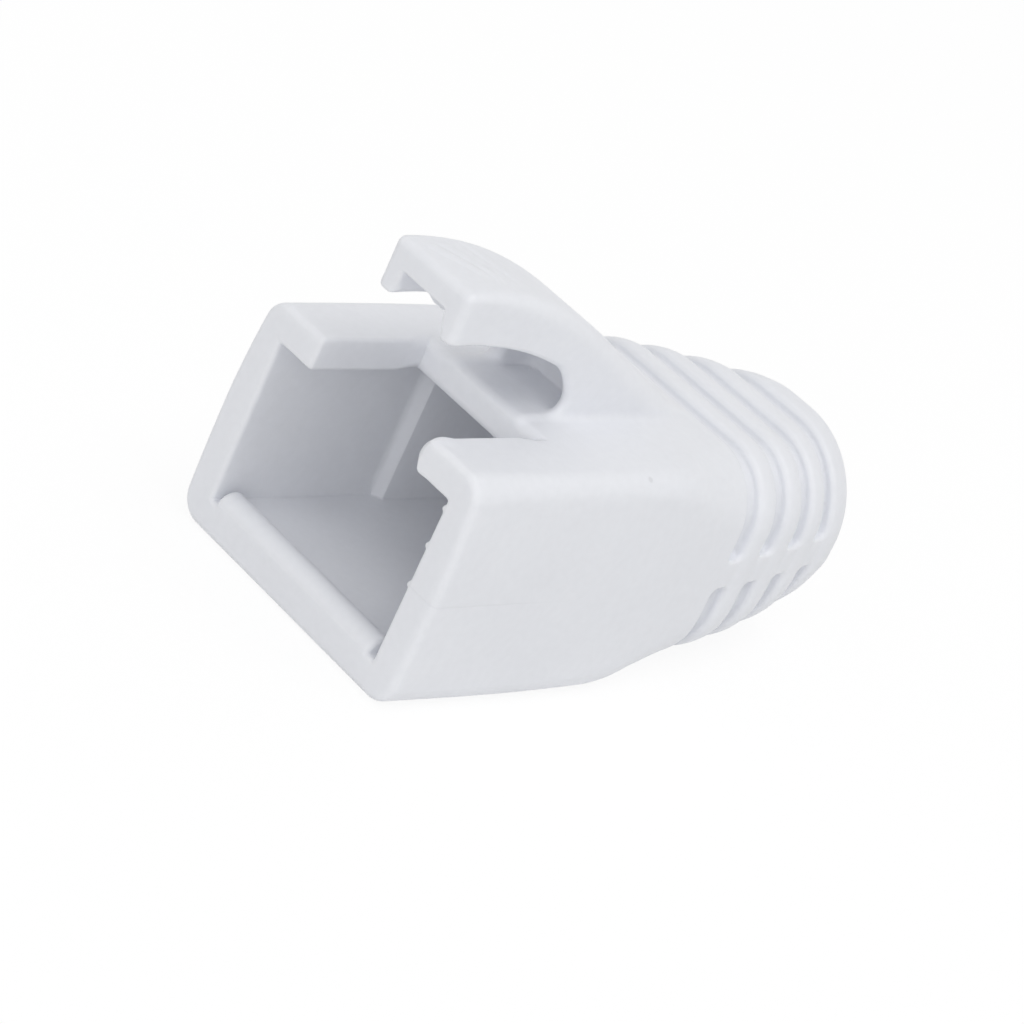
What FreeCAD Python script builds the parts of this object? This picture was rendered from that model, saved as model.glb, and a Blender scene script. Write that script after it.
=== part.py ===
"""Strain relief boot for an RJ45 plug, moulded in one piece of soft PVC.

Millimetres. X runs across the plug, Y from the mouth (Y = 0) back to the cable outlet, Z up.
The origin is on the middle of the underside at the mouth, so the boot rests on Z = 0.
"""
import FreeCAD
import Part

import math
import os

V = FreeCAD.Vector

# Plug socket: the rear of an 8-way plug sits in it.
plug_width = 11.7
plug_height = 7.8
plug_clearance = 0.15          # on each side of the plug
side_wall = 1.8                # at the parting line, where it is thickest
floor_wall = 1.55
roof_wall = 1.65
socket_depth = 9.7             # length that takes the plug body
shoulder_run = 0.55            # sloped shoulder that stops the plug
shoulder_step = 0.4            # how far each side wall steps in there
throat_start = 15.5            # where the narrowed cavity starts to close on the cable
throat_run = 3.2

# Outer body.
straight_length = 12.6         # box-shaped part, before the taper
overall_length = 29.0
edge_radius_top = 1.1
edge_radius_bottom = 1.25
parting_height = 5.45          # the mould halves meet here, all round the boot
draft_up = 0.30                # how far each side leans in from the parting line to the roof
draft_down = 0.08              # and to the underside
mouth_edge_radius = 0.35

# Tail: tapers from the box to a round end, with flexing grooves round it.
tail_diameter = 10.6
tail_end_edge_radius = 0.4
cable_bore = 7.5
groove_count = 4
first_groove = 18.95
end_rib = 1.45                 # behind the last groove
groove_width = 0.95
groove_depth = 0.55
spine_height = 1.55            # ungrooved strip along each side, on the parting line
# How much of the box shape is left: halfway to the first groove, then at each groove but the last.
# The first row says how much wider than the round tail the section is, the second how square its
# corners are.
width_share = (0.81, 0.64, 0.39, 0.16)
corner_share = (0.70, 0.56, 0.42, 0.33)
taper_easing = 0.8             # the taper leaves the straight part over this length
flat_arc = 16                  # degrees of the round end that each flat side turns into

# Latch notch in the roof.
notch_width = 7.56
notch_length = 6.6
notch_edge_radius = 0.3

# Latch guard: a hood over the notch, open at the front and slotted at both sides.
hood_width = 5.14
hood_front = 0.52
hood_end = 17.4
hood_rise = 6.15               # above the roof, at the front
hood_roof = 1.25
hood_wall_front = 1.03
hood_wall_rear = 0.70
hood_edge_radius_front = 0.45
hood_edge_radius_rear = 1.5
hood_hollow_end = 10.2
slot_height = 3.65
slot_end = 9.05
slot_end_radius = 1.05
slot_skirt = 2.45              # height of hood side left over the slot, where the hood slopes

# Retaining lip on the floor at the mouth.
lip_height = 0.78
lip_crest = 0.45
lip_length = 1.85
lip_gap_left = 0.25
lip_gap_right = 0.45

# Worked out from the sizes above.
socket_width = plug_width + 2 * plug_clearance
socket_height = plug_height + 2 * plug_clearance
body_width = socket_width + 2 * side_wall
body_height = floor_wall + socket_height + roof_wall
socket_roof = floor_wall + socket_height
tail_radius = tail_diameter / 2
groove_pitch = (overall_length - end_rib - groove_width - first_groove) / (groove_count - 1)
over = 1.0                     # how far a cutting solid runs past a face
sliver = 0.05                  # least flat left between two corners, so that every outline matches


def section_wire(y, half_width, height, corner_bottom, corner_top, draft):
    """A closed outline at one Y: flat top and bottom, drafted sides, four round corners.

    draft is the share of the sides' full draft, and half_width is taken at the parting line.
    """
    h = half_width
    low = h - draft * draft_down
    high = h - draft * draft_up
    b = corner_bottom
    t = corner_top
    c = math.cos(math.pi / 4)
    top = height
    widest = (b + top - t) / 2 * (1 - draft) + parting_height * draft

    def p(x, z):
        return V(x, y, z)

    edges = [
        Part.makeLine(p(-low + b, 0), p(low - b, 0)),
        Part.Arc(p(low - b, 0), p(low - b + b * c, b - b * c), p(low, b)).toShape(),
        Part.Arc(p(low, b), p(h, widest), p(high, top - t)).toShape(),
        Part.Arc(p(high, top - t), p(high - t + t * c, top - t + t * c), p(high - t, top)).toShape(),
        Part.makeLine(p(high - t, top), p(-high + t, top)),
        Part.Arc(p(-high + t, top), p(-high + t - t * c, top - t + t * c), p(-high, top - t)).toShape(),
        Part.Arc(p(-high, top - t), p(-h, widest), p(-low, b)).toShape(),
        Part.Arc(p(-low, b), p(-low + b - b * c, b - b * c), p(-low + b, 0)).toShape(),
    ]
    return Part.Wire(edges)


def tail_section(y, width_left, corner_left, inset):
    """A tail outline that is part box and part round, set in by the groove depth if asked."""
    half = tail_radius + (body_width / 2 - tail_radius) * width_left - inset
    top = tail_diameter + (body_height - tail_diameter) * width_left - 2 * inset
    draft = width_left ** 2 + sliver
    largest = min(half, top / 2) - draft * draft_up - sliver
    corner = edge_radius_top + (largest - edge_radius_top) * (1 - corner_left)
    wire = section_wire(y, half, top, corner, corner, draft)
    wire.translate(V(0, 0, inset))
    return wire


def tail_circle(y, inset):
    """The round end of the taper, as eight arcs that match the edges of section_wire."""
    radius = tail_radius - inset
    ends = []
    for quarter in range(4):
        for side in (-1, 1):
            ends.append(math.radians(90 * quarter - 90 + side * flat_arc / 2))
    edges = []
    for a, b in zip(ends, ends[1:] + [ends[0] + 2 * math.pi]):
        points = []
        for angle in (a, (a + b) / 2, b):
            points.append(V(radius * math.cos(angle), y, tail_radius + radius * math.sin(angle)))
        edges.append(Part.Arc(points[0], points[1], points[2]).toShape())
    return Part.Wire(edges)


def groove_place(i):
    return first_groove + i * groove_pitch


def box(x0, x1, y0, y1, z0, z1):
    return Part.makeBox(x1 - x0, y1 - y0, z1 - z0, V(x0, y0, z0))


def rectangle(y, half_width, z0, z1):
    corners = [V(-half_width, y, z0), V(half_width, y, z0), V(half_width, y, z1), V(-half_width, y, z1)]
    return Part.makePolygon(corners + corners[:1])


def extrude_across(edges, x0, x1):
    """Extrude a closed YZ outline, drawn on X = 0, from x0 to x1."""
    face = Part.Face(Part.Wire(edges))
    face.translate(V(x0, 0, 0))
    return face.extrude(V(x1 - x0, 0, 0))


def make_tail(inset):
    """The taper, lofted through the groove places, and the round collar behind them."""
    sections = []
    for y in (straight_length - taper_easing, straight_length):
        start = section_wire(y, body_width / 2 - inset, body_height - 2 * inset,
                             edge_radius_bottom, edge_radius_top, 1)
        start.translate(V(0, 0, inset))
        sections.append(start)
    places = [(straight_length + first_groove) / 2]
    for i in range(groove_count):
        places.append(groove_place(i))
    for y, width_left, corner_left in zip(places, width_share, corner_share):
        sections.append(tail_section(y, width_left, corner_left, inset))
    collar_start = places[-1] + groove_width / 2      # the round collar starts inside the last groove
    sections.append(tail_circle(collar_start, inset))
    taper = Part.makeLoft(sections, True, False)
    collar = Part.makeCylinder(tail_radius - inset, overall_length - collar_start,
                               V(0, collar_start, tail_radius), V(0, 1, 0))
    collar = collar.makeFillet(tail_end_edge_radius, edges_at(collar, overall_length))
    return taper.fuse(collar)


def make_body():
    front = section_wire(0, body_width / 2, body_height, edge_radius_bottom, edge_radius_top, 1)
    straight = Part.Face(front).extrude(V(0, straight_length - taper_easing, 0))
    straight = straight.makeFillet(mouth_edge_radius, edges_at(straight, 0))
    return straight.fuse(make_tail(0))


def edges_at(solid, y):
    """The edges that lie wholly in the plane at one Y."""
    found = []
    for edge in solid.Edges:
        bounds = edge.BoundBox
        if abs(bounds.YMin - y) < 1e-4 and abs(bounds.YMax - y) < 1e-4:
            found.append(edge)
    return found


def make_grooves():
    """Rings round the tail, stopped at a spine along each side."""
    core = make_tail(groove_depth)
    reach = body_width
    spine = box(-reach, reach, first_groove - over, overall_length,
                parting_height - spine_height / 2, parting_height + spine_height / 2)
    rings = []
    for i in range(groove_count):
        y = groove_place(i)
        slab = box(-reach, reach, y, y + groove_width, -over, body_height + over)
        rings.append(slab.cut(core).cut(spine))
    return rings


def make_cavity():
    """Plug socket, shoulder, narrowed chamber and the throat that closes on the cable."""
    wide = socket_width / 2
    narrow = wide - shoulder_step
    outline = [
        rectangle(-over, wide, floor_wall, socket_roof),
        rectangle(socket_depth, wide, floor_wall, socket_roof),
        rectangle(socket_depth + shoulder_run, narrow, floor_wall, socket_roof),
        rectangle(throat_start, narrow, floor_wall, socket_roof),
    ]
    chamber = Part.makeLoft(outline, True, True)
    small = cable_bore / 2 * math.cos(math.pi / 4)
    funnel = Part.makeLoft([
        rectangle(throat_start, narrow, floor_wall, socket_roof),
        rectangle(throat_start + throat_run, small, tail_radius - small, tail_radius + small),
    ], True, True)
    bore = Part.makeCylinder(cable_bore / 2, overall_length + over - throat_start,
                             V(0, throat_start, tail_radius), V(0, 1, 0))
    return chamber.fuse(funnel).fuse(bore)


def make_notch():
    half = notch_width / 2
    cut = box(-half, half, -over, notch_length, socket_roof - over, body_height)
    flare = Part.makeCylinder(notch_edge_radius, notch_width, V(-half, notch_length + notch_edge_radius,
                              body_height - notch_edge_radius), V(1, 0, 0))
    lead = box(-half, half, notch_length - over, notch_length + notch_edge_radius,
               body_height - notch_edge_radius, body_height + over)
    return cut.fuse(lead.cut(flare))


def hood_top(y):
    """Height of the hood's back: a quarter cosine from the front down to the roof."""
    share = (y - hood_front) / (hood_end - hood_front)
    return body_height + hood_rise * math.cos(share * math.pi / 2)


def hood_curve(y_start, y_end, drop):
    """The hood's back line between two places, lowered by drop."""
    count = 7
    points = []
    for i in range(count):
        y = y_start + (y_end - y_start) * i / (count - 1)
        points.append(V(0, y, hood_top(y) - drop))
    curve = Part.BSplineCurve()
    curve.interpolate(points)
    return curve.toShape(), points[0], points[-1]


def make_hood_block():
    """The hood before it is hollowed, rooted in the roof and rounded along its back."""
    root = body_height - roof_wall / 2
    back, top_front, tip = hood_curve(hood_front, hood_end, 0)
    low_front = V(0, hood_front, root)
    low_tip = V(0, hood_end, root)
    edges = [
        Part.makeLine(low_front, top_front),
        back,
        Part.makeLine(tip, low_tip),
        Part.makeLine(low_tip, low_front),
    ]
    half = hood_width / 2
    block = extrude_across(edges, -half, half)
    for side in (-half, half):
        for edge in block.Edges:
            bounds = edge.BoundBox
            along = bounds.YLength > (hood_end - hood_front) * 0.9
            if along and abs(bounds.XMin - side) < 1e-4 and bounds.XLength < 1e-4 and bounds.ZLength > 1:
                block = block.makeFillet(hood_edge_radius_front, hood_edge_radius_rear, [edge])
                break
    return block


def make_hood_hollow():
    """The channel through the hood for the latch, closed at the back."""
    ceiling, front_point, rear_point = hood_curve(hood_front - over, hood_hollow_end, hood_roof)
    low_front = V(0, hood_front - over, body_height)
    low_rear = V(0, hood_hollow_end, body_height)
    edges = [
        Part.makeLine(low_front, front_point),
        ceiling,
        Part.makeLine(rear_point, low_rear),
        Part.makeLine(low_rear, low_front),
    ]
    channel = extrude_across(edges, -hood_width / 2, hood_width / 2)
    top = body_height + hood_rise + over
    wedge = Part.makeLoft([
        rectangle(hood_front - over, hood_width / 2 - hood_wall_front, body_height - over, top),
        rectangle(hood_hollow_end, hood_width / 2 - hood_wall_rear, body_height - over, top),
    ], True, True)
    return channel.common(wedge)


def make_side_slot():
    """The slot through both sides of the hood, open to the front and round at the back."""
    z0 = body_height
    r = slot_end_radius
    c = math.cos(math.pi / 4)
    level_end = slot_end * 0.3
    bend = slot_end - r * 0.5
    shoulder = [
        V(0, slot_end, z0 + r),
        V(0, bend, hood_top(bend) - slot_skirt),
        V(0, slot_end * 0.7, hood_top(slot_end * 0.7) - slot_skirt),
        V(0, slot_end * 0.48, hood_top(slot_end * 0.48) - slot_skirt),
        V(0, level_end, z0 + slot_height),
    ]
    curve = Part.BSplineCurve()
    curve.interpolate(shoulder, InitialTangent=V(0, 0, 1), FinalTangent=V(0, -1, 0))
    front_low = V(0, hood_front - over, z0)
    front_high = V(0, hood_front - over, z0 + slot_height)
    floor_end = V(0, slot_end - r, z0)
    edges = [
        Part.makeLine(front_low, floor_end),
        Part.Arc(floor_end, V(0, slot_end - r + r * c, z0 + r - r * c), shoulder[0]).toShape(),
        curve.toShape(),
        Part.makeLine(shoulder[-1], front_high),
        Part.makeLine(front_high, front_low),
    ]
    return extrude_across(edges, -hood_width, hood_width)


def make_lip():
    """A low barb across the floor: upright at the mouth, sloping down inside."""
    top = floor_wall + lip_height
    sunk = floor_wall - floor_wall / 4
    easing = lip_height / 5
    points = [
        V(0, 0, sunk),
        V(0, 0, top - easing),
        V(0, easing, top),
        V(0, easing + lip_crest, top),
        V(0, lip_length, floor_wall),
        V(0, lip_length, sunk),
    ]
    edges = []
    for a, b in zip(points, points[1:] + points[:1]):
        edges.append(Part.makeLine(a, b))
    return extrude_across(edges, -socket_width / 2 + lip_gap_left, socket_width / 2 - lip_gap_right)


def make_boot():
    hood = make_hood_block().cut(make_hood_hollow()).cut(make_side_slot())
    body = make_body()
    for ring in make_grooves():
        body = body.cut(ring)
    body = body.fuse(hood)
    body = body.cut(make_cavity())
    body = body.cut(make_notch())
    body = body.fuse(make_lip())
    return body.removeSplitter()


def main():
    os.makedirs("parts", exist_ok=True)
    boot = make_boot()
    if len(boot.Solids) == 1:
        boot = boot.Solids[0]
    print("boot: valid", boot.isValid(), "solids", len(boot.Solids), "volume", round(boot.Volume, 2),
          "mm3")
    print("box", [round(v, 3) for v in (boot.BoundBox.XMin, boot.BoundBox.XMax, boot.BoundBox.YMin,
                                        boot.BoundBox.YMax, boot.BoundBox.ZMin, boot.BoundBox.ZMax)])
    boot.exportStep("parts/boot.step")


main()
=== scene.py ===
"""Looks of the strain relief boot: its soft PVC shell and the stage it stands on."""

import math
from types import SimpleNamespace

import bpy
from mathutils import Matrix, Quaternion, Vector


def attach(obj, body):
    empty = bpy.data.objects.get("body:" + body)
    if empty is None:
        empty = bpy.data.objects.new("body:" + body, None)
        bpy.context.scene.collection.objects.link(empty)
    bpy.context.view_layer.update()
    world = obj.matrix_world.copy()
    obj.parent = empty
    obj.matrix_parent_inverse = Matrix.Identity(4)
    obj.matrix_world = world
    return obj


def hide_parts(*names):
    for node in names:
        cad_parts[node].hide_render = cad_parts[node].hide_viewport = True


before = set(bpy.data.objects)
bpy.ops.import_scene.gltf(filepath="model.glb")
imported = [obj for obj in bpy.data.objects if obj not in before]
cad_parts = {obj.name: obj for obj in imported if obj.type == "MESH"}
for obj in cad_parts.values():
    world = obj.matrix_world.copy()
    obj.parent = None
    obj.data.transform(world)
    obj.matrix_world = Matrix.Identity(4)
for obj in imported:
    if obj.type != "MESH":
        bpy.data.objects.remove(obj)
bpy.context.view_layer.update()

bl_info = {
    "name": "Strain relief boot",
    "version": (1, 0, 0),
    "blender": (4, 5, 0),
    "location": "View3D > Sidebar > Boot",
    "description": "Builds a moulded strain relief boot for an RJ45 plug, and a stage for it",
    "category": "Object",
}

MM = 0.001


def mm(value):
    """Millimetres, the drawing's unit, in metres."""
    return value * MM


class Nodes:
    """Adds nodes to one tree."""

    def __init__(self, tree):
        self.tree = tree

    def add(self, kind, settings=None, terms=(), **inputs):
        """Adds a node: its type, its settings, its first inputs in order, then others by name.

        An input's name is written with _ for each space.
        """
        node = self.tree.nodes.new(kind)
        for key, value in (settings or {}).items():
            setattr(node, key, value)
        for place, value in enumerate(terms):
            self.feed(node.inputs[place], value)
        for key, value in inputs.items():
            self.feed(node.inputs[key.replace("_", " ")], value)
        return node

    def feed(self, socket, value):
        """Links an expression or a socket to an input, or gives the input a plain value."""
        if isinstance(value, Val):
            value = value.socket
        if isinstance(value, bpy.types.NodeSocket):
            self.tree.links.new(value, socket)
        else:
            socket.default_value = value


class Val:
    """A number that changes over a surface. Arithmetic on it adds Math nodes to its tree."""

    def __init__(self, nodes, socket):
        self.nodes = nodes
        self.socket = socket

    def worked(self, operation, *terms):
        """What a Math node makes of these terms."""
        node = self.nodes.add("ShaderNodeMath", {"operation": operation}, terms)
        return Val(self.nodes, node.outputs[0])

    def math(self, operation, *others):
        """What a Math node makes of this value and the others."""
        return self.worked(operation, self, *others)

    def __add__(self, other):
        return self.worked("ADD", self, other)

    def __radd__(self, other):
        return self.worked("ADD", other, self)

    def __sub__(self, other):
        return self.worked("SUBTRACT", self, other)

    def __rsub__(self, other):
        return self.worked("SUBTRACT", other, self)

    def __mul__(self, other):
        return self.worked("MULTIPLY", self, other)

    def __rmul__(self, other):
        return self.worked("MULTIPLY", other, self)

    def __truediv__(self, other):
        return self.worked("DIVIDE", self, other)

    def __rtruediv__(self, other):
        return self.worked("DIVIDE", other, self)

    def __neg__(self):
        return self.worked("MULTIPLY", -1.0, self)


def least(a, b):
    """The smaller of a value and another."""
    return a.math("MINIMUM", b)


def most(a, b):
    """The larger of a value and another."""
    return a.math("MAXIMUM", b)


def meet(a, b, radius):
    """The space inside both a and b, with a round edge where they cross."""
    u = most(a + radius, 0.0)
    v = most(b + radius, 0.0)
    return least(most(a, b), -radius) + (u * u + v * v).math("SQRT")


def join(a, b, radius):
    """The space inside a or b, with a fillet where they cross."""
    u = most(radius - a, 0.0)
    v = most(radius - b, 0.0)
    return most(least(a, b), radius) - (u * u + v * v).math("SQRT")


def carve(a, b, radius):
    """The space inside a but not b, with a round edge where they cross."""
    return meet(a, -b, radius)


def clamped(value):
    """The value, kept between 0 and 1."""
    return least(most(value, 0.0), 1.0)


def rising(value, start, run):
    """0 up to a start, then rising to 1 over a run."""
    return clamped((value - start) / run)


def falling(value, end, run):
    """1 until a run before an end, then falling to 0."""
    return clamped((end - value) / run)


def in_millimetres(nodes, point):
    """The three coordinates of a point, in millimetres."""
    parts = nodes.add("ShaderNodeSeparateXYZ", Vector=point)
    return [Val(nodes, socket) / MM for socket in parts.outputs]


def length(name, description, value):
    """A size that the user can change, with its default in millimetres."""
    return bpy.props.FloatProperty(name=name, description=description, default=mm(value),
                                   unit="LENGTH", precision=5)


class BootSizes(bpy.types.PropertyGroup):
    """Sizes of the moulded shell."""

    body_width: length("Body width", "Across the sides, at the parting line", 15.6)
    body_height: length("Body height", "Underside to roof", 11.3)
    overall_length: length("Overall length", "Mouth to the end of the tail", 29.0)
    parting_height: length("Parting height", "Where the mould halves meet", 5.45)
    draft_up: length("Upper draft", "How far each side leans in up to the roof", 0.30)
    draft_down: length("Lower draft", "How far each side leans in down to the underside", 0.08)
    mouth_edge: length("Mouth edge", "Radius of the outer edge of the mouth", 0.35)
    tail_diameter: length("Tail diameter", "Across the round end", 10.6)
    tail_edge: length("Tail edge", "Radius of the edge of the tail's end", 0.65)
    socket_width: length("Socket width", "Inside, between the sides", 12.0)
    socket_floor: length("Floor", "Thickness of the floor", 1.55)
    socket_roof: length("Socket roof", "Height of the roof's inner face", 9.65)
    socket_depth: length("Socket depth", "Mouth to the shoulder that stops the plug", 9.7)
    shoulder_run: length("Shoulder run", "Length of the sloped shoulder", 0.42)
    shoulder_step: length("Shoulder step", "How far the shoulder steps in", 0.4)
    throat_start: length("Throat start", "Where the cavity starts to close on the cable", 15.5)
    throat_run: length("Throat run", "Length over which it closes", 3.2)
    cable_bore: length("Cable bore", "Diameter of the outlet", 7.5)
    notch_width: length("Notch width", "Across the latch notch in the roof", 7.56)
    notch_length: length("Notch length", "Mouth to the back of the notch", 6.4)
    hood_width: length("Hood width", "Across the latch guard", 5.14)
    hood_front: length("Hood front", "Mouth plane to the hood's front face", 0.2)
    hood_end: length("Hood end", "Where the hood's back runs into the roof", 17.4)
    hood_rise: length("Hood rise", "Height of the hood over the roof", 6.02)
    hood_bulge: length("Hood bulge", "How far the hood's back stands over a plain quarter wave", 0.3)
    hood_roof: length("Hood roof", "Thickness of the hood's top", 1.25)
    hood_wall_front: length("Hood wall, front", "Thickness of its sides at the front", 1.03)
    hood_wall_rear: length("Hood wall, rear", "Thickness of its sides at the back", 0.70)
    hood_hollow_end: length("Hood hollow", "Mouth plane to the closed end of the channel", 11.0)
    slot_height: length("Slot height", "Roof to the top of the side slot", 3.65)
    slot_end: length("Slot end", "Mouth plane to the back of the side slot", 9.05)
    slot_skirt: length("Slot skirt", "Hood side left over the slot, where the hood slopes", 2.45)
    left_skirt_drop: length("Left skirt drop", "How much lower the left skirt hangs behind its front", 0.75)
    lip_height: length("Lip height", "Height of the barb over the floor", 0.78)
    lip_crest: length("Lip crest", "Top of the barb, from the mouth plane", 1.15)
    lip_length: length("Lip length", "Mouth plane to the foot of its slope", 1.85)
    lip_gap_left: length("Left lip gap", "Barb to the left side", 0.32)
    lip_gap_right: length("Right lip gap", "Barb to the right side", 0.45)
    first_groove: length("First groove", "Mouth plane to the first flexing groove", 18.55)
    groove_pitch: length("Groove pitch", "From one flexing groove to the next", 2.45)
    groove_width: length("Groove width", "Along the tail", 1.1)
    groove_depth: length("Groove depth", "Into the tail, at the front of a groove", 1.0)
    spine_height: length("Spine height", "Ungrooved strip along each side", 1.5)
    spine_middle: length("Spine middle", "Height of that strip's middle line", 5.82)
    rib_crown: length("Rib crown", "How far the ribs between the grooves swell", 0.1)
    groove_count: bpy.props.IntProperty(
        name="Groove count", description="Flexing grooves round the tail", default=4, min=1)
    cell: length("Cell", "Size of the cells that the surface is found in", 0.105)


class BootFinish(bpy.types.PropertyGroup):
    """Colours and grain of the boot's PVC."""

    pvc: bpy.props.FloatVectorProperty(
        name="PVC", description="Colour of the soft PVC", subtype="COLOR", size=3,
        default=(0.86, 0.873, 0.913), min=0, max=1)
    roughness: bpy.props.FloatProperty(
        name="Roughness", description="How matt the moulded skin is", default=0.48, min=0, max=1,
        subtype="FACTOR")
    clouding: bpy.props.FloatProperty(
        name="Clouding", description="How much the colour wanders over the skin", default=0.05,
        min=0, max=1, subtype="FACTOR")
    grain: bpy.props.FloatProperty(
        name="Grain", description="Strength of the fine relief of the skin", default=0.25,
        min=0, max=1, subtype="FACTOR")


class StageSizes(bpy.types.PropertyGroup):
    """Where the camera stands, and how strong the light is."""

    azimuth: bpy.props.FloatProperty(
        name="Azimuth", description="Camera's direction round the boot",
        default=math.radians(37.81), unit="ROTATION")
    elevation: bpy.props.FloatProperty(
        name="Elevation", description="Camera's height angle", default=math.radians(23.82),
        unit="ROTATION")
    roll: bpy.props.FloatProperty(
        name="Roll", description="Camera's turn about its own axis", default=math.radians(-25.45),
        unit="ROTATION")
    distance: bpy.props.FloatProperty(
        name="Distance", description="Camera to the point it aims at", default=mm(168.005),
        unit="LENGTH")
    aim: bpy.props.FloatVectorProperty(
        name="Aim", description="Point the camera aims at", size=3, unit="LENGTH",
        default=(mm(-0.072), mm(12.135), mm(4.568)))
    lens: bpy.props.FloatProperty(
        name="Lens", description="Focal length of the camera in millimetres", default=131.6, min=1)
    ambient: bpy.props.FloatProperty(
        name="Ambient", description="Strength of the light from all round", default=0.61, min=0)


# The two noises of the skin, each as its periods to the metre and its detail.
CLOUD = (260.0, 3.0)
GRAIN = (2600.0, 2.0)
# How much the clouding changes the roughness.
CLOUD_ROUGHNESS = 0.16
# How much light runs under the skin, and how far; and the depth of the fine relief, in millimetres.
GLOW_WEIGHT = 0.35
GLOW_REACH = 0.5
RELIEF = 0.03

# The parting line: half its width, where it starts across and how softly, where it fades out along
# the side and over what length, and how dark it is.
SEAM_REACH = 0.07
SEAM_START = 5.9
SEAM_EDGE = 0.3
SEAM_END = 8.5
SEAM_FADE = 4.0
SEAM_SHADE = 0.035

# Marks left by the mould and by handling, as their place and how far they reach, in millimetres.
SPECKS = (((-1.3, 18.85, 11.0), 0.24), ((7.0, 10.8, 11.1), 0.18))
SPECK_EDGE = 0.1
SPECK_SHADE = 0.12

# A curved nick on the hood's back: the middle of its curve, its radius, half its width, how softly
# it starts across, the height over which it comes in, and how dark it is.
NICK_MIDDLE = (-1.7, 12.6)
NICK_RADIUS = 0.45
NICK_REACH = 0.1
NICK_EDGE = 0.15
NICK_FOOT = 11.5
NICK_RISE = 0.5
NICK_SHADE = 0.1


def blank_material(name):
    """A material with an empty tree, and what adds nodes to it."""
    material = bpy.data.materials.new(name)
    material.use_nodes = True
    material.node_tree.nodes.clear()
    return material, Nodes(material.node_tree)


def noise(nodes, place, scale, detail):
    """Smooth noise about a half."""
    node = nodes.add("ShaderNodeTexNoise", Vector=place, Scale=scale, Detail=detail)
    return Val(nodes, node.outputs[0])


def far_from(point, place):
    """Distance of a point, as its two or three coordinates, from a place."""
    total = 0.0
    for value, middle in zip(point, place):
        total = (value - middle) * (value - middle) + total
    return total.math("SQRT")


def pvc_material(finish, parting_height):
    """Soft pale PVC: satin, faintly clouded and grained, with a parting line and a few marks."""
    material, nodes = blank_material("Soft PVC")
    place = nodes.add("ShaderNodeTexCoord").outputs["Object"]
    x, y, z = in_millimetres(nodes, place)
    cloud = noise(nodes, place, *CLOUD)
    grain = noise(nodes, place, *GRAIN)

    seam = clamped(1 - (z - parting_height / MM).math("ABSOLUTE") / SEAM_REACH)
    seam = seam * rising(x, SEAM_START, SEAM_EDGE) * falling(y, SEAM_END, SEAM_FADE)
    nick = (far_from((x, y), NICK_MIDDLE) - NICK_RADIUS).math("ABSOLUTE")
    nick = clamped(1 - nick / NICK_REACH) * rising(x, NICK_MIDDLE[0], NICK_EDGE)
    nick = nick * rising(z, NICK_FOOT, NICK_RISE)
    marks = seam * SEAM_SHADE
    for spot, reach in SPECKS:
        marks = marks + falling(far_from((x, y, z), spot), reach, SPECK_EDGE) * SPECK_SHADE
    marks = marks + nick * NICK_SHADE

    shade = 1 - marks + (cloud - 0.5) * finish.clouding + (grain - 0.5) * finish.clouding
    colour = nodes.add("ShaderNodeVectorMath", {"operation": "SCALE"}, (finish.pvc,), Scale=shade)
    bump = nodes.add("ShaderNodeBump", Distance=mm(RELIEF), Strength=finish.grain,
                     Height=grain - seam - nick)
    shader = nodes.add("ShaderNodeBsdfPrincipled", Base_Color=colour.outputs[0],
                       Roughness=finish.roughness + (cloud - 0.5) * CLOUD_ROUGHNESS,
                       Normal=bump.outputs[0], Subsurface_Weight=GLOW_WEIGHT,
                       Subsurface_Radius=(1, 1, 1), Subsurface_Scale=mm(GLOW_REACH))
    nodes.add("ShaderNodeOutputMaterial", Surface=shader.outputs[0])
    return material


# Taper, as (millimetres from the mouth, share): the share of the way from the round tail out to the
# body's width, and the corner radius as a share of CORNER_UNIT.
WIDTH_SHARE = ((0, 1), (12.3, 1), (13.5, 0.98), (14.5, 0.945), (15.65, 0.90), (17.2, 0.84), (18.7, 0.77),
               (21.4, 0.62), (24.1, 0.42), (27.1, 0.16), (29, 0))
CORNER_SHARE = ((0, 0.187), (12.3, 0.187), (13.5, 0.22), (15.65, 0.37), (18.7, 0.54),
                (21.4, 0.585), (24.1, 0.66), (26.8, 0.78), (28, 0.86), (29, 0.88))
CORNER_UNIT = 6.0
MOULD_LENGTH = 29.0


def along(nodes, y, table):
    """The share that a table gives at y, as a smooth curve through its points."""
    node = nodes.add("ShaderNodeFloatCurve", Value=y / MOULD_LENGTH)
    curve = node.mapping.curves[0]
    curve.points[0].location = (0, table[0][1])
    curve.points[1].location = (1, table[-1][1])
    for place, share in table[1:-1]:
        curve.points.new(place / MOULD_LENGTH, share)
    node.mapping.update()
    return Val(nodes, node.outputs[0])


def named_sizes():
    """The boot's sizes, each as its key and its property."""
    return [(key, prop) for key, prop in BootSizes.bl_rna.properties.items()
            if key in BootSizes.__annotations__]


def size_sockets(tree):
    """Gives a tree one named input for each of the boot's sizes."""
    for _, prop in named_sizes():
        kind = "NodeSocketInt" if prop.type == "INT" else "NodeSocketFloat"
        tree.interface.new_socket(prop.name, in_out="INPUT", socket_type=kind)


# The fillet round the hood's foot, the edge of the cavity, and the fillet under the barb.
HOOD_FILLET = 0.35
CAVITY_EDGE = 0.22
BARB_FILLET = 0.06

# The notch: how far its cut reaches under the socket's roof and over the body, the radius of its
# edges at the mouth, and how much rounder they get from how far before its back, over what length.
NOTCH_UNDER = 1.0
NOTCH_OVER = 0.5
NOTCH_EDGE = 0.2
NOTCH_BACK_EDGE = 0.35
NOTCH_BACK_START = 1.2
NOTCH_BACK_RUN = 1.0

# A round bulge on the stub of roof to the right of the notch, at the mouth, and its fillet.
STUB_CENTRE = (3.95, 0.75, 10.35)
STUB_RADII = (0.72, 0.7, 0.85)
STUB_FILLET = 0.3
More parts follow.
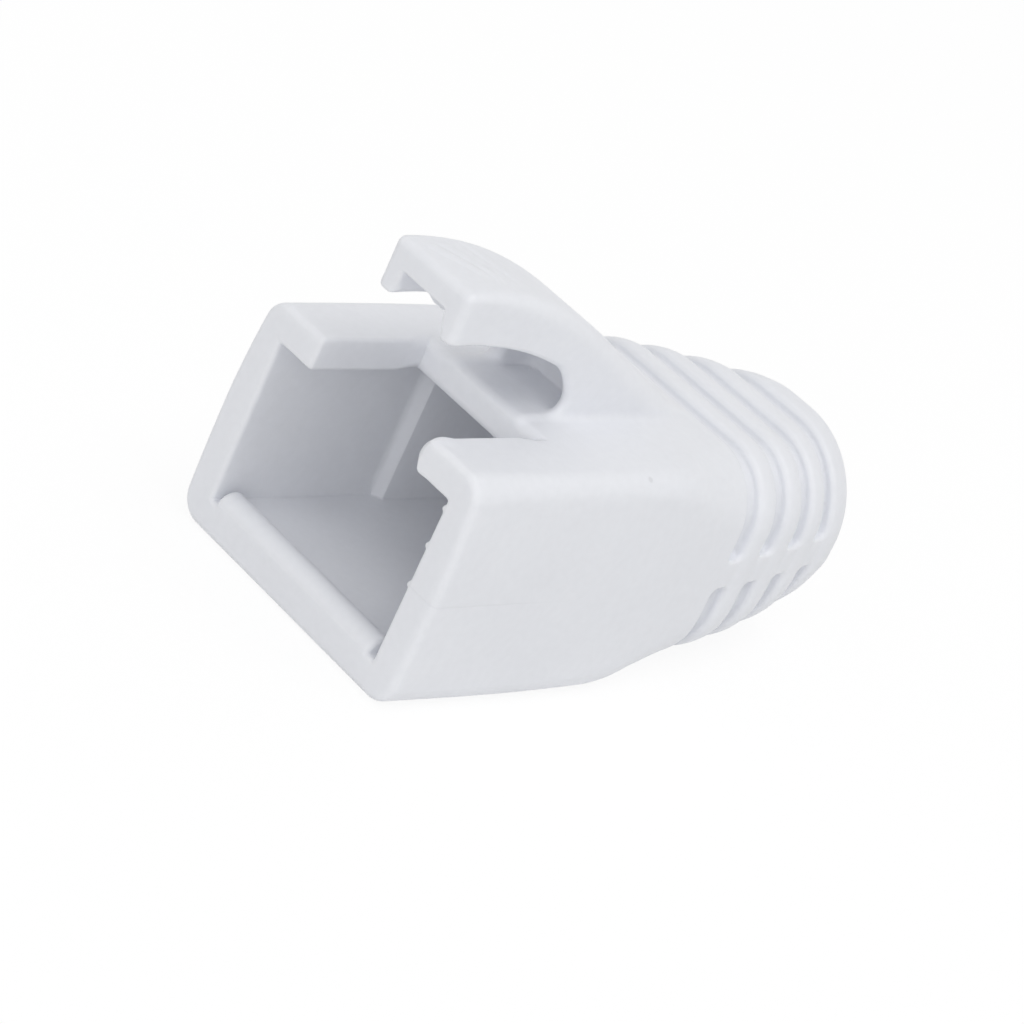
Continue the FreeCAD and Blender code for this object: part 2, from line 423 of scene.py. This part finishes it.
# Nubs of flash on the mouth's right edge: their place across and along, their heights and radii.
NUB_PLACE = (6.0, 0.16)
NUB_HEIGHTS = (5.45, 7.42, 9.25)
NUB_RADII = (0.12, 0.12, 0.16)
NUB_FILLET = 0.06


def distance_group():
    """A node group: how far a point is outside the boot's skin, in millimetres, from its sizes."""
    tree = bpy.data.node_groups.new("Boot distance", "GeometryNodeTree")
    tree.interface.new_socket("Point", in_out="INPUT", socket_type="NodeSocketVector")
    size_sockets(tree)
    tree.interface.new_socket("Distance", in_out="OUTPUT", socket_type="NodeSocketFloat")
    nodes = Nodes(tree)
    given = nodes.add("NodeGroupInput")
    size = SimpleNamespace()
    for key, prop in named_sizes():
        raw = Val(nodes, given.outputs[prop.name])
        setattr(size, key, raw if prop.type == "INT" else raw / MM)
    x, y, z = in_millimetres(nodes, given.outputs["Point"])
    far = x.math("ABSOLUTE")

    whole = join(outer_skin(nodes, size, far, y, z), latch_hood(size, far, x, y, z), HOOD_FILLET)
    whole = carve(whole, cavity(size, far, y, z), CAVITY_EDGE)
    notch = most(most(far - size.notch_width / 2, y - size.notch_length),
                 size.socket_roof - NOTCH_UNDER - z)
    notch = most(notch, z - size.body_height - NOTCH_OVER)
    near_back = clamped((y - size.notch_length + NOTCH_BACK_START) / NOTCH_BACK_RUN)
    whole = carve(whole, notch, NOTCH_EDGE + near_back * NOTCH_BACK_EDGE)
    whole = join(whole, barb(size, x, y, z), BARB_FILLET)
    whole = join(whole, blob(x, y, z, STUB_CENTRE, STUB_RADII), STUB_FILLET)
    for height in NUB_HEIGHTS:
        whole = join(whole, blob(x, y, z, (*NUB_PLACE, height), NUB_RADII), NUB_FILLET)
    nodes.add("NodeGroupOutput", Distance=most(whole, -y))
    return tree


# The body's corners, as shares of their table's radius: at the underside, and how much smaller at
# the roof. The change takes this height about the middle.
LOWER_CORNER = 1.1
CORNER_LOSS = 0.2
CORNER_CHANGE = 2
# How far under the roof, and over the underside, the sides have leaned in by their whole draft.
ROOF_CORNER = 1.1
UNDERSIDE_CORNER = 1.25

# The swell of the ribs comes in over this length at the first groove, and this height.
SWELL_RUN = 0.3
SWELL_RISE = 3.0
# A groove gets shallower towards its back and, from a height up, towards its top, by these shares.
GROOVE_BACK_LOSS = 0.55
GROOVE_TOP_LOSS = 0.3
GROOVE_TOP_START = 8.0
GROOVE_TOP_RUN = 3.0
# Radii of a groove's bottom corners, of its ends, and of its edges, with what its back edge adds.
GROOVE_CORNER = 0.1
GROOVE_END = 0.35
GROOVE_EDGE = 0.12
GROOVE_BACK_EDGE = 0.3


def outer_skin(nodes, size, far, y, z):
    """The body and its tapered tail, with the flexing grooves."""
    share = along(nodes, y, WIDTH_SHARE)
    corner = along(nodes, y, CORNER_SHARE) * CORNER_UNIT
    tail_radius = size.tail_diameter / 2
    half = tail_radius + (size.body_width / 2 - tail_radius) * share
    height = size.tail_diameter + (size.body_height - size.tail_diameter) * (share * share)
    corner = corner * (LOWER_CORNER - CORNER_LOSS * clamped((z - height / 2) / CORNER_CHANGE + 0.5))
    above = most(z - size.parting_height, 0.0) / (size.body_height - size.parting_height - ROOF_CORNER)
    below = most(size.parting_height - z, 0.0) / (size.parting_height - UNDERSIDE_CORNER)
    lean = (above * above * size.draft_up + below * below * size.draft_down) * share * share

    # past is how far this point lies behind the middle of the nearest groove.
    centre = size.first_groove + size.groove_width / 2
    steps = ((y - centre) / size.groove_pitch).math("ROUND")
    steps = least(most(steps, 0.0), size.groove_count - 1)
    past = y - centre - steps * size.groove_pitch
    off = past.math("ABSOLUTE")
    rib = (size.groove_pitch - size.groove_width) / 2
    place = (size.groove_pitch / 2 - off) / rib
    swell = most(1 - place * place, 0.0) * size.rib_crown
    swell = swell * rising(y, size.first_groove, SWELL_RUN) * clamped(z / SWELL_RISE)

    flat = far + lean - (half - corner)
    tall = (z - height / 2).math("ABSOLUTE") - (height / 2 - corner)
    u = most(flat, 0.0)
    v = most(tall, 0.0)
    section = (u * u + v * v).math("SQRT") + least(most(flat, tall), 0.0) - corner
    skin = meet(section - swell, -y, size.mouth_edge)
    skin = meet(skin, y - size.overall_length, size.tail_edge)

    depth = size.groove_depth * (1 - GROOVE_BACK_LOSS * clamped(past / size.groove_width + 0.5))
    depth = depth * (1 - GROOVE_TOP_LOSS * rising(z, GROOVE_TOP_START, GROOVE_TOP_RUN))
    groove = meet(off - size.groove_width / 2, -depth - section, GROOVE_CORNER)
    spine = size.spine_height / 2 - (z - size.spine_middle).math("ABSOLUTE")
    groove = meet(groove, spine, GROOVE_END)
    return carve(skin, groove, GROOVE_EDGE + clamped(past / size.groove_width) * GROOVE_BACK_EDGE)


# Radii of the cavity's long corners, and of the fillet where the outlet leaves the throat.
CAVITY_CORNER = 0.08
OUTLET_FILLET = 0.3


def cavity(size, far, y, z):
    """The plug socket, its shoulder, the chamber and the throat that closes on the cable."""
    tail_radius = size.tail_diameter / 2
    bore = size.cable_bore / 2
    small = bore * math.cos(math.pi / 4)
    closing = rising(y, size.throat_start, size.throat_run)
    shoulder = rising(y, size.socket_depth, size.shoulder_run)
    narrow = size.socket_width / 2 - size.shoulder_step * shoulder
    half = narrow + (small - narrow) * closing
    floor = size.socket_floor + (tail_radius - small - size.socket_floor) * closing
    roof = size.socket_roof + (tail_radius + small - size.socket_roof) * closing
    tall = (z - (floor + roof) / 2).math("ABSOLUTE") - (roof - floor) / 2
    chamber = meet(far - half, tall, CAVITY_CORNER)
    drop = z - tail_radius
    outlet = (far * far + drop * drop).math("SQRT") - bore
    outlet = most(outlet, size.throat_start - y)
    return join(chamber, outlet, OUTLET_FILLET)


# How many times faster than the hood's own wave the bulge of its back comes and goes.
BULGE_PACE = 3
# The radius of the hood's long edges at its front, what they gain towards its end, and the radius
# of its front edge. Then how far the hood is sunk in the body, and how far it is kept past its end.
HOOD_EDGE = 0.34
HOOD_EDGE_GAIN = 1.16
HOOD_FRONT_EDGE = 0.42
HOOD_SUNK = 0.8
HOOD_PAST = 0.5

# The channel stands a little to the right, and its right side leans in from a height over the body.
CHANNEL_SHIFT = 0.12
CHANNEL_LEAN = 0.22
CHANNEL_LEAN_START = 3.0
CHANNEL_LEAN_RUN = 2
# Radii of its long corners, of the corners at its closed end and of its edges. The edges are
# rounder by so much from a little over the slots down, and the change takes EDGE_CHANGE.
CHANNEL_CORNER = 0.14
CHANNEL_END = 0.9
CHANNEL_EDGE = 0.12
CHANNEL_LOW_EDGE = 0.3
OVER_SLOT = 0.75
EDGE_CHANGE = 0.5

# The left skirt drops from this place on, over this length. SIDE_SWITCH is how sharply what is on
# the left only comes in at the middle plane.
SKIRT_START = 2.9
SKIRT_RUN = 1.1
SIDE_SWITCH = 10.0
# The distance to a slot's top is counted a little short, because that top slopes. Then the radii
# of that corner, and of the one at the roof with where it comes in and its least value.
SLOT_TOP_SCALE = 0.95
SLOT_CORNER = 1.7
SILL_CORNER = 1.1
SILL_START = 5.0
SILL_RUN = 2
SILL_LEAST = 0.01
# The radius of a slot's edges, what it gains, and where it does so.
SLOT_EDGE = 0.14
SLOT_EDGE_GAIN = 0.2
SLOT_EDGE_START = 3.0
SLOT_EDGE_RUN = 5.0

# The low ridges across the front of the hood's back, from their left end to their right, as (x, y).
HOOD_RIBS = (((-1.66, 1.06), (0.79, 2.45)), ((-1.71, 1.99), (1.16, 3.33)), ((-1.96, 3.59), (0.95, 4.55)))
# Half a ridge's width, its height, and how far its ends reach past their points and back.
RIDGE_REACH = 0.34
RIDGE_HEIGHT = 0.06
RIDGE_END = 0.3


def latch_hood(size, far, x, y, z):
    """The latch guard: a hood with a channel through it and a slot in each side."""
    hood_length = size.hood_end - size.hood_front
    gone = (y - size.hood_front) / hood_length
    turn = gone * (math.pi / 2)
    back = size.body_height + size.hood_rise * turn.math("COSINE")
    back = back + most((turn * BULGE_PACE).math("SINE"), 0.0) * size.hood_bulge
    steepness = turn.math("SINE") * size.hood_rise / hood_length * (math.pi / 2)
    shorten = 1 / (steepness * steepness + 1).math("SQRT")
    ribs = 0.0
    for start, finish in HOOD_RIBS:
        ribs = ribs + ridge(x, y, start, finish)
    hood = meet(far - size.hood_width / 2, (z - back) * shorten - ribs,
                HOOD_EDGE + clamped(gone) * HOOD_EDGE_GAIN)
    hood = meet(hood, size.hood_front - y, HOOD_FRONT_EDGE)
    hood = most(hood, size.body_height - HOOD_SUNK - z)
    hood = most(hood, y - size.hood_end - HOOD_PAST)

    thinning = clamped(y / size.hood_hollow_end)
    wall = size.hood_wall_front + (size.hood_wall_rear - size.hood_wall_front) * thinning
    lean_rise = clamped((z - size.body_height - CHANNEL_LEAN_START) / CHANNEL_LEAN_RUN)
    lean = clamped(x) * CHANNEL_LEAN * lean_rise
    aside = (x - CHANNEL_SHIFT).math("ABSOLUTE") + lean - (size.hood_width / 2 - wall)
    channel = meet(aside, (z - back + size.hood_roof) * shorten, CHANNEL_CORNER)
    channel = meet(channel, y - size.hood_hollow_end, CHANNEL_END)
    channel = most(channel, size.body_height - z)

    left = clamped(x * -SIDE_SWITCH)
    top = least(size.body_height + size.slot_height, back - size.slot_skirt)
    top = top - left * rising(y, SKIRT_START, SKIRT_RUN) * size.left_skirt_drop
    slot = meet((z - top) * SLOT_TOP_SCALE, y - size.slot_end, SLOT_CORNER)
    sill = SILL_CORNER * rising(y, SILL_START, SILL_RUN) + SILL_LEAST
    slot = meet(slot, size.body_height - z, sill)
    hood = carve(hood, slot, SLOT_EDGE + rising(y, SLOT_EDGE_START, SLOT_EDGE_RUN) * SLOT_EDGE_GAIN)
    foot = size.body_height + size.slot_height + OVER_SLOT
    return carve(hood, channel, CHANNEL_EDGE + falling(z, foot, EDGE_CHANGE) * CHANNEL_LOW_EDGE)


def ridge(x, y, start, finish):
    """The height of a low rounded ridge along a line across the hood."""
    run = math.dist(start, finish)
    way_x = (finish[0] - start[0]) / run
    way_y = (finish[1] - start[1]) / run
    along_line = (x - start[0]) * way_x + (y - start[1]) * way_y
    off = ((y - start[1]) * way_x - (x - start[0]) * way_y) / RIDGE_REACH
    ends = clamped((along_line + RIDGE_END) / (2 * RIDGE_END))
    ends = ends * falling(along_line, run + RIDGE_END, 2 * RIDGE_END)
    return most(1 - off * off, 0.0) * ends * RIDGE_HEIGHT


def blob(x, y, z, centre, radii):
    """A small rounded lump."""
    total = 0.0
    for value, middle, radius in zip((x, y, z), centre, radii):
        part = (value - middle) / radius
        total = part * part + total
    return (total.math("SQRT") - 1) * min(radii)


# The barb's top: how far it stands over the barb's height at the mouth, and its slope down inwards.
BARB_OVER = 0.02
BARB_SLOPE = 0.12
# Its foot's height over the floor, how much less than the barb's height its far side falls, how
# much its front leans back, and how low it is rooted in the floor, over the underside.
BARB_FOOT = 0.03
BARB_LESS = 0.14
BARB_LEAN = 0.09
BARB_ROOT = 1.0
# Radii of its front edge, of its crest and of its ends.
BARB_FRONT_EDGE = 0.8
BARB_CREST = 0.2
BARB_END = 0.25


def barb(size, x, y, z):
    """The low barb across the floor that holds the plug: upright at the mouth, sloping inside."""
    top = size.socket_floor + size.lip_height + BARB_OVER - BARB_SLOPE * y
    foot = size.socket_floor + BARB_FOOT
    fall = size.lip_height - BARB_LESS
    run = size.lip_length - size.lip_crest
    slope = (fall * fall + run * run).math("SQRT")
    ramp = ((y - size.lip_length) * fall + (z - foot) * run) / slope
    face = meet(z - top, most(z - foot, 0.0) * BARB_LEAN - y, BARB_FRONT_EDGE)
    face = meet(face, ramp, BARB_CREST)
    half = (size.socket_width - size.lip_gap_left - size.lip_gap_right) / 2
    middle = (size.lip_gap_left - size.lip_gap_right) / 2
    face = meet(face, (x - middle).math("ABSOLUTE") - half, BARB_END)
    return most(face, BARB_ROOT - z)


# How far the block of cells reaches past the boot, how far off its skin the distance is cut off,
# and how far from a point its slope is measured, in millimetres.
BLOCK_MARGIN = 0.4
DISTANCE_BAND = 0.4
PROBE = 0.02
# How much flat ground may be thinned out, the least square of a slope, and the steps to the skin.
ADAPTIVITY = 0.004
LEAST_SQUARE = 1e-12
STEPS_TO_SKIN = 2
# Four corners of a cube, no two of them on one edge.
PROBE_CORNERS = ((1, -1, -1), (-1, -1, 1), (-1, 1, -1), (1, 1, 1))


def found_surface(nodes, given, here, distance):
    """The surface where the distance is 0, found in a block of cells round the boot."""
    margin = mm(BLOCK_MARGIN)
    width = Val(nodes, given.outputs["Body width"]) / 2 + margin
    deep = Val(nodes, given.outputs["Overall length"]) + margin
    tall = Val(nodes, given.outputs["Body height"]) + Val(nodes, given.outputs["Hood rise"]) + margin
    cell = Val(nodes, given.outputs["Cell"])
    low = nodes.add("ShaderNodeCombineXYZ", X=-width, Y=-margin, Z=-margin)
    high = nodes.add("ShaderNodeCombineXYZ", X=width, Y=deep, Z=tall)
    cells = {}
    for axis, span in (("X", width * 2), ("Y", deep + margin), ("Z", tall + margin)):
        cells["Resolution_" + axis] = (span / cell).math("ROUND")
    inside = most(least(-distance(here), DISTANCE_BAND), -DISTANCE_BAND)
    block = nodes.add("GeometryNodeVolumeCube", Background=-1.0, Density=inside,
                      Min=low.outputs[0], Max=high.outputs[0], **cells)
    mesh = nodes.add("GeometryNodeVolumeToMesh", {"resolution_mode": "GRID"}, Threshold=0.0,
                     Adaptivity=ADAPTIVITY, Volume=block.outputs[0])
    return mesh.outputs[0]


def way_to_skin(nodes, here, distance):
    """The step from a point to the skin, and the slope of the distance there."""
    reach = mm(PROBE)
    slope = None
    total = 0.0
    for corner in PROBE_CORNERS:
        point = nodes.add("ShaderNodeVectorMath", {"operation": "ADD"}, (here, [reach * c for c in corner]))
        out = distance(point.outputs[0])
        total = out + total
        push = nodes.add("ShaderNodeVectorMath", {"operation": "SCALE"}, (corner,), Scale=out).outputs[0]
        if slope is None:
            slope = push
        else:
            slope = nodes.add("ShaderNodeVectorMath", {"operation": "ADD"}, (slope, push)).outputs[0]
    # slope is 4 * reach times the gradient, and total is 4 times the distance.
    product = nodes.add("ShaderNodeVectorMath", {"operation": "DOT_PRODUCT"}, (slope, slope))
    square = most(Val(nodes, product.outputs["Value"]), LEAST_SQUARE)
    factor = total / 4 / square * (-4.0 * reach)
    step = nodes.add("ShaderNodeVectorMath", {"operation": "SCALE"}, (slope,), Scale=factor)
    return step.outputs[0], slope


# The attribute in which the tree leaves the skin's normals.
NORMAL_NAME = "skin_normal"


def shell_tree(material):
    """The boot's shell: finds the surface in a block of cells, then draws it onto the true skin."""
    group = distance_group()
    tree = bpy.data.node_groups.new("Boot shell", "GeometryNodeTree")
    tree.interface.new_socket("Geometry", in_out="INPUT", socket_type="NodeSocketGeometry")
    size_sockets(tree)
    tree.interface.new_socket("Geometry", in_out="OUTPUT", socket_type="NodeSocketGeometry")
    nodes = Nodes(tree)
    given = nodes.add("NodeGroupInput")

    def distance(point):
        """The distance of a point from the skin, with this tree's sizes."""
        node = nodes.add("GeometryNodeGroup", {"node_tree": group}, Point=point)
        for socket in given.outputs:
            if socket.name in node.inputs:
                nodes.feed(node.inputs[socket.name], socket)
        return Val(nodes, node.outputs["Distance"])

    here = nodes.add("GeometryNodeInputPosition").outputs[0]
    mesh = found_surface(nodes, given, here, distance)
    step, slope = way_to_skin(nodes, here, distance)
    for _ in range(STEPS_TO_SKIN):
        mesh = nodes.add("GeometryNodeSetPosition", Geometry=mesh, Offset=step).outputs[0]
    normal = nodes.add("ShaderNodeVectorMath", {"operation": "NORMALIZE"}, (slope,))
    stored = nodes.add("GeometryNodeStoreNamedAttribute", {"data_type": "FLOAT_VECTOR", "domain": "POINT"},
                       Geometry=mesh, Name=NORMAL_NAME, Value=normal.outputs[0])
    smooth = nodes.add("GeometryNodeSetShadeSmooth", Geometry=stored.outputs[0])
    real = nodes.add("GeometryNodeRealizeInstances", Geometry=smooth.outputs[0])
    paint = nodes.add("GeometryNodeSetMaterial", Geometry=real.outputs[0], Material=material)
    nodes.add("NodeGroupOutput", Geometry=paint.outputs[0])
    return tree


def set_sizes(modifier, sizes):
    """Gives a modifier the boot's sizes, by their sockets' identifiers."""
    values = {prop.name: getattr(sizes, key) for key, prop in named_sizes()}
    for item in modifier.node_group.interface.items_tree:
        if item.item_type == "SOCKET" and item.in_out == "INPUT" and item.name in values:
            modifier[item.identifier] = values[item.name]


class BOOT_OT_shell(bpy.types.Operator):
    """Makes the boot's moulded shell"""

    bl_idname = "boot.make_shell"
    bl_label = "Moulded shell"

    def execute(self, context):
        sizes = context.scene.boot_sizes
        material = pvc_material(context.scene.boot_finish, sizes.parting_height)
        seed = bpy.data.objects.new("boot_shell", bpy.data.meshes.new("boot_shell"))
        context.scene.collection.objects.link(seed)
        modifier = seed.modifiers.new("Boot shell", "NODES")
        modifier.node_group = shell_tree(material)
        set_sizes(modifier, sizes)
        graph = context.evaluated_depsgraph_get()
        mesh = bpy.data.meshes.new_from_object(seed.evaluated_get(graph), depsgraph=graph)
        if not mesh.polygons:
            raise RuntimeError("the shell came out empty")
        seed.modifiers.clear()
        seed.data = mesh
        stored = mesh.attributes[NORMAL_NAME]
        normals = [item.vector.copy() for item in stored.data]
        mesh.attributes.remove(stored)
        mesh.normals_split_custom_set_from_vertices(normals)
        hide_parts("boot")
        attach(seed, "root")
        return {"FINISHED"}


def seen_by_eye(nodes):
    """1 for rays that reach the eye, straight, mirrored or through something, and 0 for others."""
    path = nodes.add("ShaderNodeLightPath")
    direct = Val(nodes, path.outputs["Is Camera Ray"])
    mirrored = Val(nodes, path.outputs["Is Glossy Ray"])
    through = Val(nodes, path.outputs["Is Transmission Ray"])
    return least(direct + mirrored + through, 1.0)


# The floor: half its side in metres, how far it lies under the boot in millimetres, how bright it
# looks to the eye, and what share of what the eye sees of it is lit.
FLOOR_HALF = 2.0
FLOOR_DROP = 0.02
FLOOR_SEEN = 1.04
FLOOR_LIT = 0.15
FLOOR_COLOUR = (0.9, 0.9, 0.9, 1)
# Each lamp: its name, its direction, its distance and its width in metres, and its power in watts.
LAMPS = (("Key softbox", (0.33, 0.05, 0.95), 0.5, 0.4, 0.56),
         ("Front softbox", (0.5, -0.78, 0.35), 0.5, 0.35, 0.43))
# What the lamps look at, in millimetres, and the nearest that the camera sees, in metres.
LAMPS_AIM = (0, 14, 6)
CLIP_START = 0.005


def pale(name, seen, lit_share):
    """A material that shows plain white to the eye but is still lit, so it can keep a shadow."""
    material, nodes = blank_material(name)
    eye = seen_by_eye(nodes)
    lit = nodes.add("ShaderNodeBsdfDiffuse", Color=FLOOR_COLOUR)
    glow = nodes.add("ShaderNodeEmission", Color=(seen, seen, seen, 1), Strength=1.0)
    mix = nodes.add("ShaderNodeMixShader", None,
                    (eye * (1 - lit_share), lit.outputs[0], glow.outputs[0]))
    nodes.add("ShaderNodeOutputMaterial", Surface=mix.outputs[0])
    return material


def area_lamp(name, towards, distance, size, power):
    """A soft lamp that looks at the boot from a direction given in the boot's own axes."""
    light = bpy.data.lights.new(name, "AREA")
    light.shape = "DISK"
    light.size = size
    light.energy = power
    lamp = bpy.data.objects.new(name, light)
    bpy.context.scene.collection.objects.link(lamp)
    way = Vector(towards).normalized()
    lamp.location = Vector([mm(value) for value in LAMPS_AIM]) + way * distance
    lamp.rotation_mode = "QUATERNION"
    lamp.rotation_quaternion = (-way).to_track_quat("-Z", "Y")


class BOOT_OT_stage(bpy.types.Operator):
    """Makes the floor, the lamps, the pale surroundings and the camera"""

    bl_idname = "boot.make_stage"
    bl_label = "Stage"

    def execute(self, context):
        scene = context.scene
        sizes = scene.boot_stage
        scene.view_settings.view_transform = "Standard"

        world = bpy.data.worlds.new("Pale room")
        world.use_nodes = True
        world.node_tree.nodes.clear()
        scene.world = world
        nodes = Nodes(world.node_tree)
        strength = seen_by_eye(nodes) * (1.0 - sizes.ambient) + sizes.ambient
        room = nodes.add("ShaderNodeBackground", Color=(1, 1, 1, 1), Strength=strength)
        nodes.add("ShaderNodeOutputWorld", Surface=room.outputs[0])

        floor_mesh = bpy.data.meshes.new("Floor")
        ends = ((-1, -1), (1, -1), (1, 1), (-1, 1))
        corners = [(x * FLOOR_HALF, y * FLOOR_HALF, mm(-FLOOR_DROP)) for x, y in ends]
        floor_mesh.from_pydata(corners, [], [(0, 1, 2, 3)])
        floor = bpy.data.objects.new("Floor", floor_mesh)
        scene.collection.objects.link(floor)
        floor_mesh.materials.append(pale("Pale floor", FLOOR_SEEN, FLOOR_LIT))

        for lamp in LAMPS:
            area_lamp(*lamp)

        data = bpy.data.cameras.new("Camera")
        data.lens = sizes.lens
        data.clip_start = CLIP_START
        camera = bpy.data.objects.new("Camera", data)
        scene.collection.objects.link(camera)
        back = Vector((math.sin(sizes.azimuth) * math.cos(sizes.elevation),
                       -math.cos(sizes.azimuth) * math.cos(sizes.elevation),
                       math.sin(sizes.elevation)))
        camera.location = Vector(sizes.aim) + back * sizes.distance
        camera.rotation_mode = "QUATERNION"
        camera.rotation_quaternion = (
            (-back).to_track_quat("-Z", "Y") @ Quaternion((0, 0, 1), -sizes.roll))
        scene.camera = camera
        return {"FINISHED"}


class BOOT_PT_panel(bpy.types.Panel):
    """Lists the boot's operators"""

    bl_idname = "BOOT_PT_panel"
    bl_label = "Strain relief boot"
    bl_space_type = "VIEW_3D"
    bl_region_type = "UI"
    bl_category = "Boot"

    def draw(self, context):
        for operator in (BOOT_OT_shell, BOOT_OT_stage):
            self.layout.operator(operator.bl_idname)
        for group in (context.scene.boot_sizes, context.scene.boot_finish, context.scene.boot_stage):
            for name in group.bl_rna.properties.keys():
                if name not in ("rna_type", "name"):
                    self.layout.prop(group, name)


CLASSES = (BootSizes, BootFinish, StageSizes, BOOT_OT_shell, BOOT_OT_stage, BOOT_PT_panel)


def register():
    for item in CLASSES:
        bpy.utils.register_class(item)
    bpy.types.Scene.boot_sizes = bpy.props.PointerProperty(type=BootSizes)
    bpy.types.Scene.boot_finish = bpy.props.PointerProperty(type=BootFinish)
    bpy.types.Scene.boot_stage = bpy.props.PointerProperty(type=StageSizes)


def unregister():
    del bpy.types.Scene.boot_stage
    del bpy.types.Scene.boot_finish
    del bpy.types.Scene.boot_sizes
    for item in reversed(CLASSES):
        bpy.utils.unregister_class(item)


def main():
    register()
    bpy.ops.boot.make_shell()
    bpy.ops.boot.make_stage()


if __name__ == "__main__":
    main()
